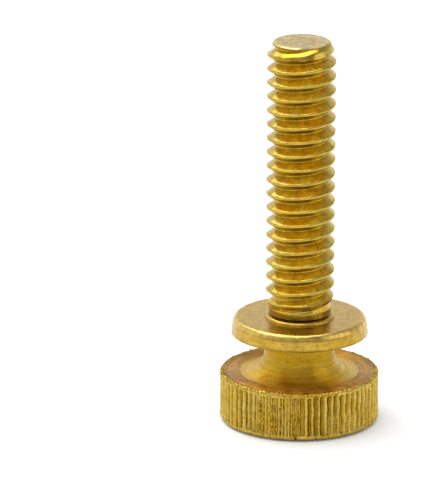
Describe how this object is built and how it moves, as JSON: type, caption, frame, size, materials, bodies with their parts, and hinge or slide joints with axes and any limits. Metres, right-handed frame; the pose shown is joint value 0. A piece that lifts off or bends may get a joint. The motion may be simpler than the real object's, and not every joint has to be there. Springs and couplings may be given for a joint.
{
  "type": "thumb screw",
  "caption": "Brass thumb screw with a straight-knurled round head, a flared neck, a captive collar washer and a threaded stud, for clamping a panel by hand.",
  "frame": {"origin": "middle of the head's outer face, on the screw's axis", "axes": "+Z along the screw's axis from the head to the stud's tip; X and Y are square to it, with the thread's crest reaching the tip face 159 degrees from +X"},
  "size_m": [0.0142, 0.0142, 0.0348],
  "materials": {
    "head_brass": "turned face and flare, straight-knurled rim, slightly tarnished",
    "stud_brass": "bright rolled thread with a sheared, satin tip",
    "washer_brass": "satin stamped faces, rounded upper edge"
  },
  "bodies": {
    "screw": {"knurled_head": "head_brass", "threaded_stud": "stud_brass"},
    "washer": {"collar_washer": "washer_brass"}
  },
  "joints": [
    {"name": "washer_spin", "type": "hinge", "parent": "screw", "child": "washer", "pos_m": [0, 0, 0.00874], "axis": [0, 0, 1], "continuous": true}
  ]
}
